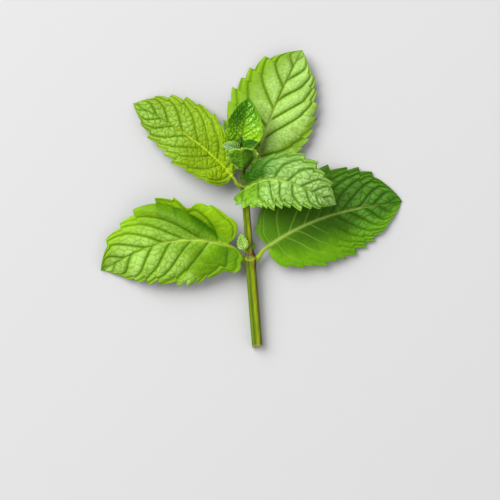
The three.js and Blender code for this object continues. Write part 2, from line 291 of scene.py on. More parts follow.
def rimFaces(rows, columns, start):
    # quads once round the edge of a grid, from its own points to those of the grid that comes next
    layer = rows * columns
    ids = np.arange(layer).reshape(rows, columns) + start
    ring = np.concatenate([ids[0, :-1], ids[:-1, -1], ids[-1, :0:-1], ids[:0:-1, 0]])
    after = np.roll(ring, -1)
    return np.stack([ring, after, after + layer, ring + layer], 1)[:, ::-1].tolist()


# lengths are in mm, and a share runs from the base to the tip or from the midrib to the edge
blade = {
    "flare": 0.42,  # how fast the outline widens from the base
    "tipPinch": 0.3,  # how much narrower the last twentieth is, as a share
    "toothStart": 0.1, "toothPeak": 0.82,  # where the teeth start, and where each one is highest
    "toothLean": 0.7,  # how far forward a tooth points, for each mm of its height
    "toothScatter": 0.3, "smallestTooth": 0.6, "largestTooth": 1.4,
    "bareTip": 0.92,  # where the teeth end
    "lobeTurn": 0.35,  # how far along the leaf's own turn its basal lobes point back
    "lobeTooth": 0.07,  # how far from the base the lobes' teeth still point back
    "foldRound": 0.5,  # rounding of the fold along the midrib
    "veinLoop": 0.26,  # how far the side veins run forward along the edge, as a share of the blade
    "veinSpread": 0.5,  # how much further forward the veins near the tip lean
    "veinScatter": 0.18, "veinCrowding": 1.2,  # unevenness of their steps, and how close the first ones are
    "netStray": 0.35,  # how far the net of small veins strays from even cells, as a share of one
    "grain": 0.85,  # width of the finest bumps that are real relief
    "swing": 5.0, "swingShare": 0.3,  # the slow swell of the whole blade, and its height against a pillow
    "grid": 0.2,  # spacing of the surface points on a grown leaf
    "closeRows": 0.06,  # over this share the rows are closer, because the lobes turn there
}
foldedLobe = {  # of a leaf that has a tuck
    "step": 0.06, "standBack": 0.35,  # how soon the margin steps back, and by what share of the notch
    "notchWidth": 0.034, "bareNotch": 0.07,  # widths of the notch and of the bare stretch round it
    "smallerTeeth": 0.6,
    "bulge": 0.6, "bulgeAt": 2.6, "bulgeWidth": 2.2, "valleyWidth": 0.9, "rise": 0.4, "riseWidth": 5.0,
}


def outline(u, taper, flare):
    widest = flare / (flare + taper)
    full = (u / widest) ** flare * (np.maximum(0, 1 - u) / (1 - widest)) ** taper
    return full * (1 - blade["tipPinch"] * np.exp((u - 1) / 0.05))


def toothHeight(leaf, u, side):
    # teeth are even along the margin, which runs further than the midrib where there is a basal lobe
    span = (1 - blade["toothStart"]) / (leaf["teeth"] + 0.6)
    margin = u - leaf["lobe"][side] / leaf["length"] * (1 - u) ** 5
    at = (margin - blade["toothStart"]) / span
    at = at + blade["toothScatter"] * (wander(at * 0.7, side * 3.3, leaf["seed"] + 2) - side)
    within = at - np.floor(at)
    peak = blade["toothPeak"]
    height = np.where(within < peak, (within / peak) ** 0.8, (1 - within) / (1 - peak))
    size = np.sin(np.pi * np.minimum(1, 0.18 + 0.8 * u)) ** 0.6
    chance = hashed(np.floor(at), side, leaf["seed"])
    size = size * mix(blade["smallestTooth"], blade["largestTooth"], chance)
    here = smooth((u - 0.01) / 0.04) * smooth((blade["bareTip"] - u) / 0.1)
    return leaf["toothDepth"] * height * size * here


def midrib(leaf):
    steps = 60
    total = leaf["stalk"] + leaf["length"]
    s = np.linspace(0, total, steps + 1)
    inStalk = smooth(s / leaf["stalk"])
    inBlade = np.maximum(0, (s - leaf["stalk"]) / leaf["length"])
    turned = 1 - (1 - inBlade) ** leaf["bend"]
    (h0, h1, h2), (p0, p1, p2) = leaf["heading"], leaf["pitch"]
    heading = np.where(s < leaf["stalk"], mix(h0, h1, inStalk), mix(h1, h2, turned))
    pitch = np.where(s < leaf["stalk"], mix(p0, p1, inStalk), mix(p1, p2, inBlade))
    ahead = direction(heading, pitch)
    foot = stemSurface(leaf["joint"], leaf["around"], 0.3 + leaf["stalkRadius"] * 0.6)
    place = foot + np.vstack([np.zeros(3), np.cumsum(ahead[1:] * (total / steps), axis=0)])
    roll = np.radians(mix(leaf["roll"][0], leaf["roll"][1], inBlade))[:, None]
    left = direction(heading + 90, 0 * heading)
    left = left * np.cos(roll) + np.cross(ahead, left) * np.sin(roll)
    return {"s": s, "place": place, "ahead": ahead, "left": left, "up": np.cross(ahead, left)}


def along(line, key, s):
    values = np.stack([np.interp(s, line["s"], line[key][:, k]) for k in range(3)], -1)
    return values if key == "place" else unit(values)


def veins(leaf, s, t, share, width):
    # where each point lies among the side veins, and how far it is from them, mm
    length, count, across = leaf["length"], leaf["sideVeins"], np.abs(t)
    side = (t < 0).astype(int)
    sweep = np.where(side == 0, leaf["sweep"][0], leaf["sweep"][1])
    drift = leaf["wobble"] * wander(s / 7, t / 7, leaf["seed"])
    reach = (s + drift) / length - blade["veinLoop"] * share ** 6
    # a side vein leaves the midrib at start; near the base they stand squarer to it
    low, high = np.full(s.shape, -0.6), np.full(s.shape, 1.3)
    spread = blade["veinSpread"]
    for _ in range(14):
        start = (low + high) / 2
        forward = (spread * start + sweep * smooth(start / 0.2)) * across / length
        beyond = start + forward > reach
        low, high = np.where(beyond, low, start), np.where(beyond, start, high)
    steps = np.arange(-count, 2 * count)
    starts = (steps + 0.3 + blade["veinScatter"] * (hashed(steps, 1, leaf["seed"]) - 0.5)) / count
    crowded = np.maximum(starts, 0) ** blade["veinCrowding"]  # closer together near the base
    starts = np.where(starts > 0, crowded, starts)
    number = np.interp(start - side * 0.4 / count, starts, steps)
    slope = spread * start + sweep * smooth(start / 0.2)
    slope = slope + 6 * blade["veinLoop"] * length * share ** 5 / np.maximum(width, 0.5)
    steep = np.sqrt(1 + slope ** 2)
    sideVein = np.abs(number - np.round(number)) * length / count / steep
    # between them a net of small veins, in rows across each space
    cell = leaf["cell"]
    rows = max(1, round(length / count / np.sqrt(1 + np.mean(leaf["sweep"]) ** 2) / cell))
    lengthwise = (sweep * s + across) / np.sqrt(1 + sweep ** 2)
    swing = 0.8 * cell
    strayAcross, strayAlong = (
        blade["netStray"] * wander(s / swing + k, t / swing, leaf["seed"] + 31 + k) for k in (0, 5))
    otherHalf = side * 17.3  # so that the two halves' cells differ
    border, tone = cellBorders(
        number * rows + strayAcross, lengthwise / cell + otherHalf + strayAlong, leaf["seed"])
    return sideVein, number - np.floor(number), border * cell, tone


def halfWidths(leaf, u):
    # how far each half reaches without its teeth, and the teeth's height, one column for each half
    slimmed = 1 - np.array(leaf["slim"]) * np.maximum(0, 1 - 2 * u[:, None]) ** 1.3
    shape = outline(u, leaf["taper"], leaf.get("flare", blade["flare"]))[:, None]
    plain = np.maximum(0.1, np.array(leaf["halves"]) * shape * slimmed)
    tooth = np.stack([toothHeight(leaf, u, k) for k in (0, 1)], 1)
    if "tuck" in leaf:
        # the folded lobe stands back from the rest of the margin, with a notch between them
        half, ends = leaf["tuck"]["side"], leaf["tuck"]["ends"]
        inLobe = smooth((ends - u) / foldedLobe["step"] + 0.5)
        notch = np.exp(-((u - ends) / foldedLobe["notchWidth"]) ** 2) + foldedLobe["standBack"] * inLobe
        plain[:, half] = np.maximum(0.1, plain[:, half] - leaf["tuck"]["notch"] * notch)
        tooth[:, half] *= 1 - foldedLobe["smallerTeeth"] * inLobe
        tooth[:, half] *= 1 - np.exp(-((u - ends) / foldedLobe["bareNotch"]) ** 2)
    return plain, tooth


def foldAtVein(tuck, s, t, side, share):
    # a basal lobe folded under along one side vein: a sharp valley with a bulge ahead of it
    off = (s - tuck["sweep"] * np.abs(t)) / np.hypot(1, tuck["sweep"])
    here = (side == tuck["side"]) * smooth(np.abs(t) / 4)
    fromBulge = (off - foldedLobe["bulgeAt"]) / foldedLobe["bulgeWidth"]
    bulge = foldedLobe["bulge"] * np.exp(-fromBulge ** 2)
    valley = np.exp(-np.abs(off) / foldedLobe["valleyWidth"])
    rise = foldedLobe["rise"] * smooth(-off / foldedLobe["riseWidth"])
    lift = bulge * (1 - 0.5 * share ** 3) - valley * (1 - 0.5 * share ** 4) + rise
    return off, here, here * tuck["depth"] * lift


def bladeSurface(leaf, rows, columns):
    line = midrib(leaf)
    q, soft = np.linspace(0, 1, rows), blade["closeRows"]
    u = (np.sqrt(q ** 2 + soft ** 2) - soft) / (np.sqrt(1 + soft ** 2) - soft)
    v = np.linspace(1, -1, columns)
    plain, tooth = halfWidths(leaf, u)
    width = plain + tooth
    side = (v < 0).astype(int)[None, :]

    def pick(pair):
        # a leaf's two halves have their own sizes, left and right of the midrib
        return np.where(side == 0, pair[0], pair[1])

    width, plain, tooth = (np.where(side == 0, both[:, :1], both[:, 1:]) for both in (width, plain, tooth))
    share = np.abs(v)[None, :] + 0 * width
    t = v[None, :] * width
    s = u[:, None] * leaf["length"] + 0 * t

    at = leaf["stalk"] + u * leaf["length"]
    u = u[:, None]
    place, ahead, left, up = (along(line, key, at)[:, None, :] for key in ("place", "ahead", "left", "up"))
    lean = blade["toothLean"] * tooth * share ** 3
    turning = np.sin(np.pi / 2 * np.clip(2 * plain / pick(leaf["halves"]), 0, 1)) ** 0.8
    back = pick(leaf["lobe"]) * (1 - u) ** 5 * np.minimum(1.2, np.abs(t) / plain) ** 2 * turning
    # round the lobe a tooth points back, and not to the side
    atLobe = np.exp(-u / blade["lobeTooth"])
    turned = atLobe * tooth * share ** 9 * turning
    back = back + 1.2 * turned
    t = t - 0.6 * turned * np.sign(v)
    lean = lean * (1 - atLobe)
    bend = np.radians(pick(leaf["curl"])) * np.abs(t) / pick(leaf["halves"])
    angle = np.radians(pick(leaf["fold"])) * smooth(u * 8) + bend / 2
    rounded = np.sqrt(t ** 2 + blade["foldRound"] ** 2) - blade["foldRound"]
    ripple = pick(leaf["wave"]) * share ** 2 * smooth(u * 4) * np.sin(
        2 * np.pi * (leaf["waves"] * u + pick(leaf["wavePhase"])))
    backward = direction(mix(leaf["heading"][1], leaf["heading"][2], blade["lobeTurn"]), 0.0)
    middle = (place + left * (t * np.cos(angle))[..., None]
              + up * (rounded * np.sin(angle) + ripple)[..., None]
              + ahead * lean[..., None] - backward * back[..., None])

    sideVein, fraction, smallVein, tone = veins(leaf, s, t, share, width)
    reach, cell = leaf["veinReach"], leaf["cell"]
    calm = mix(leaf["calmBase"], 1, smooth((u - leaf["calmUntil"] + 0.2) / 0.4))
    nearTip = mix(0.35, 1, smooth((1 - u) / 0.16))
    creases = (1 - np.exp(-sideVein / reach)) * (1 - np.exp(-np.abs(t) / reach))
    swell = creases * (0.65 + 0.35 * (4 * fraction * (1 - fraction)) ** 0.7)
    bumps = 1 - np.exp(-(smallVein / (0.2 * cell)) ** 1.2)
    fine, _ = cellBorders(s / blade["grain"], t / blade["grain"], leaf["seed"] + 20)
    fine = 1 - np.exp(-(fine / 0.25))
    margin = 1 - 0.55 * share ** 6
    height = leaf["pillow"] * (swell - 0.5) + leaf["quilt"] * (bumps - 0.6) * (0.3 + 0.7 * swell)
    height = calm * margin * nearTip * height + leaf["fine"] * (fine - 0.6)
    swing = wander(s / blade["swing"], t / blade["swing"], leaf["seed"] + 4)
    height = height + blade["swingShare"] * leaf["pillow"] * swing * share
    if "tuck" in leaf:
        off, here, lift = foldAtVein(leaf["tuck"], s, t, side, share)
        height = height + lift
        # the fold's valley also takes the dark crease colour, painted shade
        sideVein = np.where(here > 0, np.minimum(sideVein, 0.6 * np.abs(off) + 1 - here), sideVein)
    height = height * smooth(u / 0.03)

    normal = unit(np.cross(np.gradient(middle, axis=0), -np.gradient(middle, axis=1)))
    normal = np.where((normal * up).sum(-1, keepdims=True) < 0, -normal, normal)
    thin = leaf["thickness"] * (1 - 0.5 * share ** 4)
    ribWidth = leaf["rib"] * (1 - 0.75 * u) + 0.08
    rib = np.exp(-(t / ribWidth) ** 2)
    # the vein and net marks carry the dark crease colour: painted shade in the creases of the side veins
    # and between the small cells
    vein = np.exp(-(sideVein / (leaf["line"] * (1.2 - 0.6 * share))) ** 2)
    vein = vein * (1 - 0.6 * share ** 6) * nearTip
    net = np.exp(-(smallVein / (0.085 * cell)) ** 2) * smooth(0.6 + wander(s / 3, t / 3, leaf["seed"] + 50))
    ribDepth = 0.62 * leaf["rib"] * (1 - 0.8 * u) * np.exp(-(t / (1.3 * ribWidth)) ** 2)
    top = middle + normal * (height + 0.5 * thin + 0.3 * ribDepth * leaf["ribRise"])[..., None]
    under = middle + normal * (height - 0.5 * thin - ribDepth - 0.2 * leaf["pillow"] * vein)[..., None]
    rim = smooth((u - leaf.get("rimTip", 2)) / 0.2)  # the edge colour goes round the tip too
    # painted shade: a darker green on one half, over a part of its length, or just ahead of a fold, where
    # the leaf lies in shade
    half, none, full = leaf.get("shade", (0, 0, 1))
    shade = smooth(half * v * 3)[None, :] * smooth((u - none) / (full - none))
    if "tuck" in leaf:
        # painted shade on the slope just ahead of the folded lobe's valley
        shade = here * smooth(off + 0.5) * np.exp(-np.maximum(0, off - 1) / 4) * (1 - 0.6 * share ** 3)
    marks = {
        "proud": np.clip(swell * (0.4 + 0.6 * bumps) * (0.7 + 0.3 * fine), 0, 1) * calm,
        "vein": vein, "rib": rib, "net": net * calm * (1 - vein),
        "along": u + 0 * t, "edge": np.maximum(share, rim), "side": v[None, :] + 0 * t,
        "tone": tone, "shade": shade + 0 * t,
    }
    return line, top, under, marks


def settledPitch(leaf):
    # the droop at which the leaf's lowest point just touches the floor
    steep, shallow = leaf["pitch"][2] - 25, leaf["pitch"][2] + 25
    for _ in range(12):
        half = (steep + shallow) / 2
        tried = dict(leaf, pitch=(*leaf["pitch"][:2], half))
        _, _, under, _ = bladeSurface(tried, 90, 45)
        if under[..., 2].min() > 0.02:
            shallow = half
        else:
            steep = half
    return shallow


# how far below the joint each ring of a stalk's foot is, mm, how deep in the stem, and how much thicker
stalkFoot = [(2.2, 0.85, 1.3), (1.5, 0.55, 1.5), (0.8, 0.25, 1.6), (0.25, 0.0, 1.56)]


def stalkTube(leaf, line, sides):
    # the leaf stalk, from inside the stem to where it has become the rib under the blade
    length, stalk, radius = leaf["length"], leaf["stalk"], leaf["stalkRadius"]
    s = np.concatenate([[0.0], np.linspace(0.12, stalk, max(8, int(stalk * 3 * fineness))),
                        stalk + np.linspace(0.03, 0.3, 14) * length])
    place, left, up = along(line, "place", s), along(line, "left", s), along(line, "up", s)
    inBlade = np.maximum(0, (s - stalk) / (0.3 * length))
    thick = radius * (1 + 0.5 * np.exp(-s / 1.1)) * (1 - 0.86 * smooth(inBlade))
    place = place - up * (smooth((s - stalk + 1.2) / 2.4) * (0.55 * thick + 0.12))[:, None]
    # its foot comes out of the stem's side below the joint, so the two run together
    depth, slender = float(stemRadius(leaf["joint"])), min(1, radius / 0.5)
    roots = []
    for drop, inset, _ in stalkFoot:
        roots.append(stemSurface(leaf["joint"] - drop * slender, leaf["around"], 0.12 - inset * depth))
    place = np.vstack([roots[:1], roots, place, place[-1:]])
    thick = np.concatenate([[0.02], [swell * radius for _, _, swell in stalkFoot], thick, [0.01]])
    left, up = (np.vstack([np.repeat(way[:1], len(roots) + 1, 0), way, way[-1:]]) for way in (left, up))
    turn = np.linspace(0, 2 * np.pi, sides, endpoint=False)
    channel = 1 - 0.22 * np.exp(-((turn - np.pi / 2) / 0.5) ** 2)  # a furrow along its upper side
    rings = place[:, None, :] + thick[:, None, None] * channel[None, :, None] * (
        left[:, None, :] * np.cos(turn)[None, :, None] + up[:, None, :] * np.sin(turn)[None, :, None])
    return rings


def growLeaf(leaf, material):
    if leaf["settles"]:
        leaf = dict(leaf, pitch=(*leaf["pitch"][:2], settledPitch(leaf)))
    grid = min(blade["grid"], leaf["length"] / 90) / fineness
    rows = int(leaf["length"] / grid)
    columns = 2 * int(max(leaf["halves"]) / grid) + 1
    line, top, under, marks = bladeSurface(leaf, rows, columns)
    count = rows * columns
    topFaces, topPlaces = gridFaces(rows, columns, 0, True, (0.01, 0.01), (0.45, 0.98))
    underFaces, underPlaces = gridFaces(rows, columns, count, False, (0.48, 0.01), (0.45, 0.98))

    edgeFaces = rimFaces(rows, columns, 0)
    gap = 1 / len(edgeFaces)
    step = np.arange(len(edgeFaces)) * gap
    edgePlaces = np.stack([
        np.stack([x + 0 * step, step + rise], 1)
        for x, rise in ((0.94, 0), (0.955, 0), (0.955, gap), (0.94, gap))], 1)

    sides = max(10, int(20 * fineness))
    tube = stalkTube(leaf, line, sides)
    tubeFaces, tubePlaces = gridFaces(len(tube), sides, 2 * count, False, (0.965, 0.01), (0.03, 0.98), True)
    tubeFaces = [corners[::-1] for corners in tubeFaces]
    points = np.concatenate([top.reshape(-1, 3), under.reshape(-1, 3), tube.reshape(-1, 3)])
    zero, one = np.zeros(tube.shape[0] * sides), np.ones(tube.shape[0] * sides)
    allMarks = {key: np.concatenate([m.ravel(), m.ravel(), one if key == "rib" else zero])
                for key, m in marks.items()}
    allMarks["under"] = np.concatenate([np.zeros(count), np.ones(count), zero])
    stalkShare = np.repeat(np.linspace(1, 0, len(tube)), sides)
    allMarks["stalk"] = np.concatenate([np.zeros(2 * count), stalkShare])
    piece = makePiece(leaf["node"] + "_blade", points, topFaces + underFaces + edgeFaces + tubeFaces,
                      [topPlaces, underPlaces, edgePlaces, tubePlaces], allMarks, material)
    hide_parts(leaf["node"])
    print(leaf["node"], len(points), "points")
    return piece


# what the mesh tells its material at each point, from 0 to 1, and from -1 to 1 across the blade (side)
leafMarks = ("proud", "vein", "rib", "net", "along", "edge", "side", "under", "tone", "stalk", "shade")


# Living leaf blade: a wet, springy sheet under a thin waxy skin. The light that gets through makes
# it glow yellow-green. Fine hairs and wax lay a pale grey bloom on the tops of its pillows, and the same
# pale coat is also painted highlight where the light catches those tops.
def leafBlade(name, tones):
    material, tree, shader, mark, place = startMaterial(name, leafMarks)
    # patches of other greens about 9 mm across, and the finest mottling about 1 mm across
    patches, grain = (addNode(tree, "ShaderNodeTexNoise", {
        "Vector": place, "Scale": 1000 / size, "Detail": detail, "Roughness": 0.58})
        for size, detail in ((9.0, 3.0), (1.1, 4.0)))
    loose = addNode(tree, "ShaderNodeMath", {
        0: patches, 1: 0.5, 2: mark["along"]}, operation="MULTIPLY_ADD")
    loose = addNode(tree, "ShaderNodeMath", {0: loose, 1: 0.25}, operation="SUBTRACT")

    # what each coat follows, the two values that it comes in between, and its share at each of them
    freshAndShade, bloomAndHighlightFrom = tones["freshAndShadeSide"], tones["bloomAndHighlightFrom"]
    spans = {
        "middle": (loose, 0, tones["baseEnds"], 0, 1),
        "tip": (loose, tones["tipStarts"], 1, 0, 1),
        "edge": (mark["edge"], 0.62, 1, 0, tones["edgeShare"]),
        # a livelier green on one half of a grown leaf; on the shoot's back and front leaves this coat is
        # painted shade on their darker half
        "freshAndShade": (mark["side"], freshAndShade * tones["freshAndShadeFrom"], freshAndShade * 0.95, 0, tones["freshAndShadeShare"]),
        "pale": (mark["along"], tones["paleUntil"] - 0.1, tones["paleUntil"] + 0.15, 0, 1),
        "rib": (mark["along"], tones["ribUntil"] + 0.2, tones["ribUntil"] - 0.2, 0, tones["ribShare"]),
        "under": (mark["edge"], 0.8, 0.97, tones["underShare"], 0.15),
        "stalk": (mark["stalk"], 0, 0.35, 0, 1),
        # the pale coat on what stands proud: the real wax and hairs, and painted highlight there as well
        "bloomAndHighlightProud": (mark["proud"], tones["bloomAndHighlightOver"], tones["bloomAndHighlightOver"] + 0.6, 0, 1),
        "bloomAndHighlightPatches": (patches, 0.3, 0.62, 0.6, 1),
        "bloomAndHighlightAlong": (loose, bloomAndHighlightFrom, bloomAndHighlightFrom + 0.3, 0, tones["bloomAndHighlight"]),
        "bloomAndHighlightAcross": (
            mark["side"], freshAndShade * (tones["freshAndShadeFrom"] - 0.1), freshAndShade * 0.8, 1, tones["bloomAndHighlightOnFreshAndShade"]),
    }
    share = {key: addNode(tree, "ShaderNodeMapRange", {
        "Value": value, "From Min": low, "From Max": high, "To Min": first, "To Max": last},
        interpolation_type="SMOOTHSTEP") for key, (value, low, high, first, last) in spans.items()}
    products = {
        # painted shade, darker where the blade turns away from the light
        "shade": (mark["shade"], tones["shadeShare"]),
        "bloomAndHighlight": (share["bloomAndHighlightProud"], share["bloomAndHighlightPatches"], share["bloomAndHighlightAlong"], share["bloomAndHighlightAcross"]),
        "vein": (mark["vein"], tones["creaseShadeShare"]),
        "net": (mark["net"], tones["netShare"]),
        "rib": (mark["rib"], share["rib"]),
        "under": (mark["under"], share["under"]),
    }
    for key, (first, *others) in products.items():
        for other in others:
            first = addNode(tree, "ShaderNodeMath", {0: first, 1: other}, operation="MULTIPLY")
        share[key] = first
    # the small veins make every cell a slightly different green
    value = 0.5 - tones["toneSpread"] / 2
    for amount, weight in ((mark["tone"], tones["toneSpread"]), (grain, 0.3), (patches, 0.7)):
        value = addNode(tree, "ShaderNodeMath", {0: amount, 1: weight, 2: value}, operation="MULTIPLY_ADD")
    # veins are pale where the leaf has pale veins, and beyond that they take the dark crease colour,
    # painted shade
    veinColour = layered(tree, hexColour(tones["paleVein"]), [("pale", hexColour(tones["creaseShade"]))], share)

    # green runs from the base to the tip, with a livelier edge and half, and a pale coat lies on what
    # stands proud:
    # bloom, and painted highlight where the light catches it. On the shoot's back and front leaves the
    # other half is painted shade, and the front one's edge is a painted lit rim; the shade coat is painted
    # shade, and the vein and net coats paint shade into the creases. The ribs, the under side and the stalk
    # keep their own colours
    skinCoats = [("middle", hexColour(tones["middle"])), ("tip", hexColour(tones["tip"])),
                 ("freshAndShade", hexColour(tones["freshAndShade"])), ("edge", hexColour(tones["edge"])),
                 ("bloomAndHighlight", hexColour(tones["bloomAndHighlightColour"])), ("shade", hexColour(tones["shade"])),
                 ("vein", veinColour), ("net", hexColour(tones["creaseShade"]))]
    laterCoats = [(coat, hexColour(tones[coat])) for coat in ("rib", "under", "stalk")]
    colour = layered(tree, hexColour(tones["base"]), skinCoats, share)
    colour = addNode(tree, "ShaderNodeHueSaturation", {"Color": colour, "Value": value})
    colour = layered(tree, colour, laterCoats, share)

    rough = addNode(tree, "ShaderNodeMapRange", {
        "Value": grain, "To Min": tones["rough"] - 0.08, "To Max": tones["rough"] + 0.14})
    # epidermis: cells of about 0.15 mm, drawn at 0.45 mm so that they show
    skin = addNode(tree, "ShaderNodeTexVoronoi", {
        "Vector": place, "Scale": 1000 / 0.45, "Randomness": 1.0}, "Distance", feature="SMOOTH_F1")
    relief = addNode(tree, "ShaderNodeMath", {0: skin, 1: 0.6, 2: grain}, operation="MULTIPLY_ADD")
    bump = addNode(tree, "ShaderNodeBump", {
        "Height": relief, "Strength": 0.5, "Distance": 0.00016}, "Normal")
    fillInputs(tree, shader, {
        "Base Color": colour, "Roughness": rough, "Normal": bump, "IOR": 1.42, "Specular IOR Level": 0.16,
        "Sheen Weight": tones["sheen"], "Sheen Roughness": 0.45, "Sheen Tint": hexColour("#e9f5d8")})

    # what comes through the blade is yellower than what comes off it
    through = addNode(tree, "ShaderNodeMix", {6: colour, 7: hexColour("#d7ef2a"), 0: 0.6}, 2,
                      data_type="RGBA", blend_type="MULTIPLY")
    glow = addNode(tree, "ShaderNodeBsdfTranslucent", {"Color": through})
    both = addNode(tree, "ShaderNodeMixShader", {0: 0.22, 1: shader.outputs["BSDF"], 2: glow})
    tree.links.new(both, tree.nodes["Material Output"].inputs["Surface"])
    return material


grownTones = {
    "base": "#7fae0c", "middle": "#78ab12", "tip": "#6fa21c", "baseEnds": 0.4, "tipStarts": 0.5,
    "edge": "#86b50a", "edgeShare": 0.5,
    "freshAndShade": "#8cbc08", "freshAndShadeSide": 1.0, "freshAndShadeFrom": 0.1, "freshAndShadeShare": 0.0,
    "shade": "#3f7402", "shadeShare": 0.8,
    "bloomAndHighlight": 0.6, "bloomAndHighlightOver": 0.2, "bloomAndHighlightFrom": 0.1, "bloomAndHighlightOnFreshAndShade": 1.0, "bloomAndHighlightColour": "#a6cf66",
    "creaseShade": "#2c6204", "creaseShadeShare": 0.75, "netShare": 0.16, "toneSpread": 0.07,
    "paleVein": "#8db84a", "paleUntil": -1.0,
    "rib": "#b3cf52", "ribShare": 0.85, "ribUntil": 0.6, "under": "#9fbf58", "underShare": 0.75,
    "stalk": "#86a01c", "rough": 0.46, "sheen": 0.02,
}
grownLeaf = {"settles": True, "bend": 1.5, "thickness": 0.34, "fine": 0.1, "line": 0.22, "calmUntil": 0.0}

lowerLeftLeaf = dict(
    grownLeaf, node="leaf_lower_left", joint=lowerJoint, around=165,
    stalk=7.4, stalkRadius=0.62,
    length=44.6, halves=(13.4, 13.9), taper=0.76, slim=(0, 0.1), lobe=(9, 4.2),
    heading=(112, 161, 212), pitch=(26, 10, -17), roll=(-2, 4),
    fold=(4, 8), curl=(-26, -20), wave=(0.5, 1.5), waves=1.7, wavePhase=(0.2, 0.62),
    teeth=7, toothDepth=1.9, tuck={"side": 1, "sweep": 1.5, "depth": 2.4, "ends": 0.3, "notch": 2.4},
    sideVeins=7, sweep=(0.75, 1.25), wobble=0.9, veinReach=0.4,
    pillow=0.7, quilt=0.2, cell=2.2, rib=0.42, ribRise=0.8, calmBase=1.0, seed=3)
# the grey-green of the tip is partly painted reflection of the white room
growLeaf(lowerLeftLeaf, leafBlade("mint leaf, grey-green tip, partly painted reflection", dict(
    grownTones, base="#5c8c02", middle="#78a20a", tip="#80a636", freshAndShade="#88b004", freshAndShadeSide=-1.0,
    freshAndShadeShare=0.8, shade="#3a7200", shadeShare=0.95,
    bloomAndHighlight=0.8, bloomAndHighlightFrom=0.15, bloomAndHighlightOnFreshAndShade=0.15, ribUntil=0.5)))

lowerRightLeaf = dict(
    grownLeaf, node="leaf_lower_right", joint=lowerJoint, around=12,
    stalk=5.2, stalkRadius=0.62,
    length=47.2, halves=(15.4, 13.9), taper=0.62, slim=(0.1, 0), lobe=(2.4, 3),
    heading=(62, 36, 7), pitch=(6, -2, -4), roll=(0, 0),
    fold=(3, 3), curl=(-10, -10), wave=(0.4, 0.3), waves=2.1, wavePhase=(0.1, 0.45),
    teeth=9, toothDepth=1.5,
    sideVeins=10, sweep=(0.9, 0.85), wobble=0.7, veinReach=0.35,
    pillow=0.6, quilt=0.3, cell=2.4, rib=0.5, ribRise=1.2, calmBase=0.2, calmUntil=0.5, line=0.15, seed=11)
# its deep green is partly the older leaf's own and partly painted shade, where it lies under the front leaf
# and turns away from the light
growLeaf(lowerRightLeaf, leafBlade("mint leaf, deep green, partly painted shade", dict(
    grownTones, base="#4c7a02", middle="#366002", tip="#3a6806", edge="#4a7a04", edgeShare=0.4,
    freshAndShade="#74b006", freshAndShadeSide=-1.0, freshAndShadeFrom=0.2, freshAndShadeShare=0.75,
    bloomAndHighlight=0.5, bloomAndHighlightFrom=0.45, bloomAndHighlightColour="#6ba83a",
    creaseShade="#1f4a04", creaseShadeShare=0.6, netShare=0.3, paleUntil=0.4, paleVein="#7ea632",
    rib="#a0ba50", ribUntil=0.75, under="#7ea544", stalk="#8ca824")))

upperLeftLeaf = dict(
    grownLeaf, node="leaf_upper_left", joint=upperJoint, around=176,
    stalk=3.2, stalkRadius=0.5,
    length=42, halves=(9.4, 11), taper=0.72, slim=(0, 0.65), lobe=(1.4, 0.4),
    heading=(108, 130, 152), pitch=(-4, -6, -12), roll=(0, 4),
    fold=(30, 12), curl=(-34, -16), wave=(0.4, 0.4), waves=2.2, wavePhase=(0.3, 0.7),
    teeth=8, toothDepth=1.4,
    sideVeins=8, sweep=(0.8, 0.8), wobble=0.9, veinReach=0.32,
    pillow=0.5, quilt=0.5, cell=1.8, rib=0.3, ribRise=0.8, calmBase=0.9, seed=23)
growLeaf(upperLeftLeaf, leafBlade("mint leaf, yellow-green", dict(
    grownTones, base="#84a402", middle="#7a9c06", tip="#6c9018", edge="#86a804", freshAndShade="#8cae04",
    freshAndShadeSide=-1.0, freshAndShadeShare=0.5, bloomAndHighlight=0.5, bloomAndHighlightFrom=0.3, bloomAndHighlightOnFreshAndShade=0.5,
    rib="#bcd228", ribUntil=0.55, stalk="#7c9410")))

upperRightLeaf = dict(
    grownLeaf, node="leaf_upper_right", joint=upperJoint, around=-24,
    stalk=5.6, stalkRadius=0.52,
    length=42, halves=(14.8, 13.4), taper=0.7, slim=(0.18, 0.1), lobe=(0.6, 1.6),
    heading=(58, 79, 62), pitch=(-6, -6, -8), roll=(0, 0),
    fold=(-4, 10), curl=(-14, -22), wave=(0.3, 0.4), waves=2, wavePhase=(0.55, 0.1),
    teeth=8, toothDepth=1.7,
    sideVeins=6, sweep=(0.6, 1.1), wobble=0.7, veinReach=0.4,
    pillow=0.85, quilt=0.06, cell=1.3, rib=0.5, ribRise=0.4, calmBase=1.0, line=0.26, seed=31)
growLeaf(upperRightLeaf, leafBlade("mint leaf, pale bloom and painted highlight", dict(
    grownTones, base="#6c9a14", middle="#7fa424", tip="#86aa40", edge="#84ac0c", freshAndShade="#6e9800",
    freshAndShadeShare=0.95, freshAndShadeFrom=0.15, bloomAndHighlight=0.85, bloomAndHighlightFrom=0.0, bloomAndHighlightOnFreshAndShade=0.0, bloomAndHighlightColour="#a8d070",
    rib="#c8de7c", ribUntil=0.42, netShare=0.1, toneSpread=0.05)))

